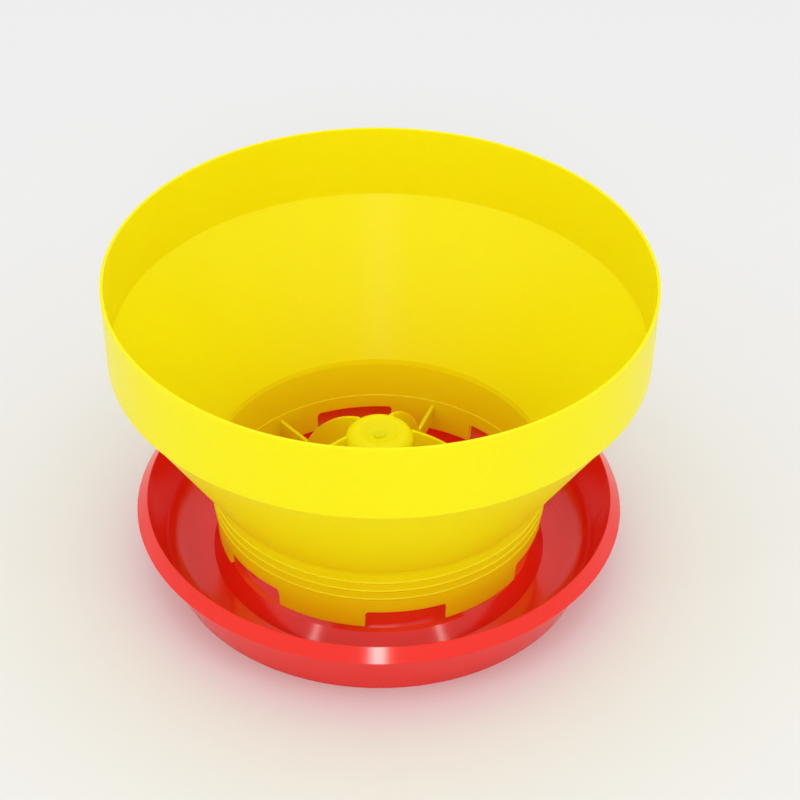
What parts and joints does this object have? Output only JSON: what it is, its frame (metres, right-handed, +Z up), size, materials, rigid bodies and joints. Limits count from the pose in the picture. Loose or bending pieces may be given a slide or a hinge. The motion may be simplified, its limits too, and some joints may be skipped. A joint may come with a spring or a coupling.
{
  "type": "poultry feeder",
  "caption": "Poultry feeder: wide cone-shaped hopper with a notched, ringed skirt and an inner finned hub, standing in a shallow round pan with a sloping lip.",
  "frame": {"origin": "on the vertical axis of the hopper and pan, in the plane that the pan's foot stands on", "axes": "+Z up along the axis of the hopper and pan, -Y towards the front of the picture, +X to its right"},
  "size_m": [0.38, 0.38, 0.2415],
  "materials": {
    "yellow_plastic": "gloss",
    "red_plastic": "gloss"
  },
  "bodies": {
    "root": {"hopper": "yellow_plastic", "pan": "red_plastic", "centre_pin": "yellow_plastic"}
  },
  "joints": []
}
